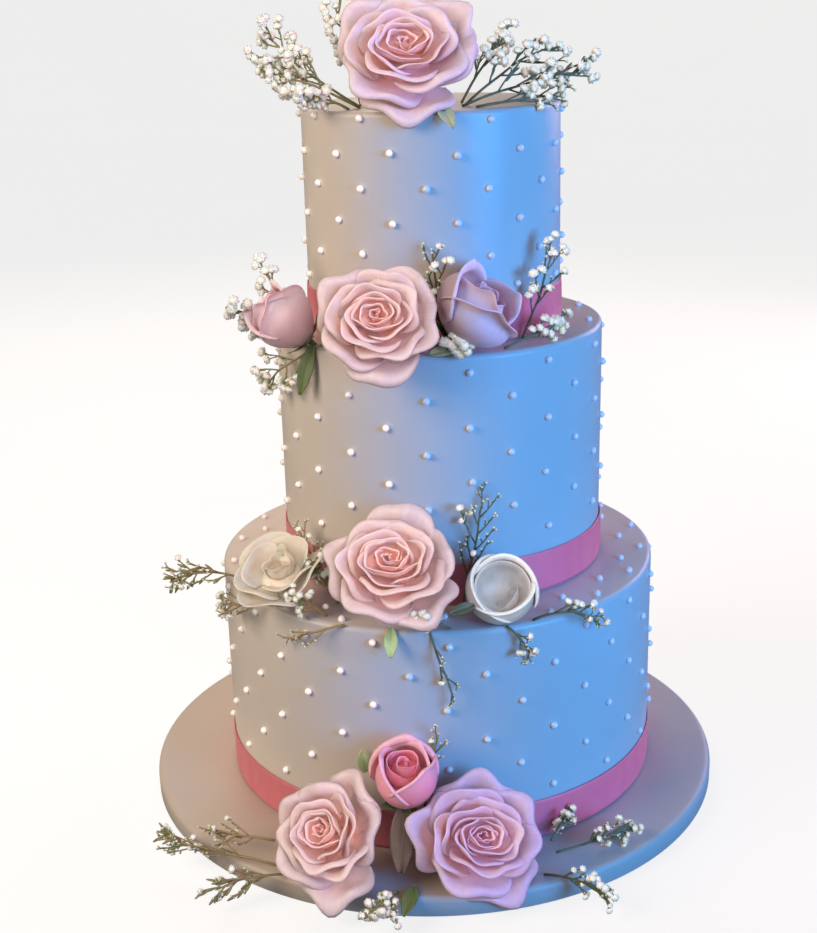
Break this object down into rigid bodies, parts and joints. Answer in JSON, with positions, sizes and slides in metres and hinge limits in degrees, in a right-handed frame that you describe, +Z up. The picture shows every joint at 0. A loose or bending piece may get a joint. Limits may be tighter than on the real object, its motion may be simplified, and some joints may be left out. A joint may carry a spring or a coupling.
{
  "type": "tiered wedding cake",
  "caption": "Tall round tiered cake on an iced board, with piped pearls all over, a satin ribbon at each tier's foot, and roses and sprigs of small white flowers climbing the front.",
  "frame": {"origin": "centre of the cake board's underside", "axes": "+Z up along the height of the cake, -Y towards the side that carries the roses, +X to the right of that side"},
  "size_m": [0.388, 0.4056, 0.5257],
  "materials": {
    "icing": "smooth ivory icing with a soft sheen",
    "board_icing": "smooth ivory icing, a little duller than the tiers",
    "ribbon": "rose pink satin",
    "rose_petals": "waxy blush petals, deeper at the heart",
    "bud_petals": "waxy deep pink petals",
    "white_petals": "waxy white petals",
    "leaf": "dull dark green leaf",
    "pale_leaf": "dull yellow-green leaf",
    "grey_leaf": "dry greyish leaf",
    "sprig": "green-brown stems with white florets"
  },
  "bodies": {
    "root": {"cake_board": "board_icing", "tier_bottom": "icing", "ribbon_bottom": "ribbon", "tier_middle": "icing", "ribbon_middle": "ribbon", "tier_top": "icing", "ribbon_top": "ribbon", "rose_top": "rose_petals", "rose_middle": "rose_petals", "rose_lower": "rose_petals", "rose_board_left": "rose_petals", "rose_board_right": "rose_petals", "bud_middle_left": "bud_petals", "bud_middle_right": "bud_petals", "flower_white_left": "white_petals", "bud_board_centre": "bud_petals", "bud_white_right": "white_petals", "leaf_top": "pale_leaf", "leaf_middle_dark": "leaf", "leaf_middle_pale": "pale_leaf", "leaf_lower_dark": "leaf", "leaf_lower_tip": "pale_leaf", "leaf_board_gold": "pale_leaf", "leaf_board_grey": "grey_leaf", "leaf_board_green": "leaf", "sprig_top_left_fan": "sprig", "sprig_top_back": "sprig", "sprig_top_left_rim": "sprig", "sprig_top_right_small": "sprig", "sprig_top_right_fan": "sprig", "sprig_top_right_low": "sprig", "sprig_middle_behind": "sprig", "sprig_middle_left": "sprig", "sprig_middle_hanging": "sprig", "sprig_middle_up": "sprig", "sprig_middle_right_up": "sprig", "sprig_middle_right_long": "sprig", "sprig_lower_far_left": "sprig", "sprig_lower_left": "sprig", "sprig_lower_left_up": "sprig", "sprig_lower_up": "sprig", "sprig_lower_centre": "sprig", "sprig_lower_hanging": "sprig", "sprig_lower_right": "sprig", "sprig_board_left_up": "sprig", "sprig_board_left": "sprig", "sprig_board_left_low": "sprig", "sprig_board_centre": "sprig", "sprig_board_right_tuft": "sprig", "sprig_board_right": "sprig", "sprig_board_right_low": "sprig"}
  },
  "joints": []
}
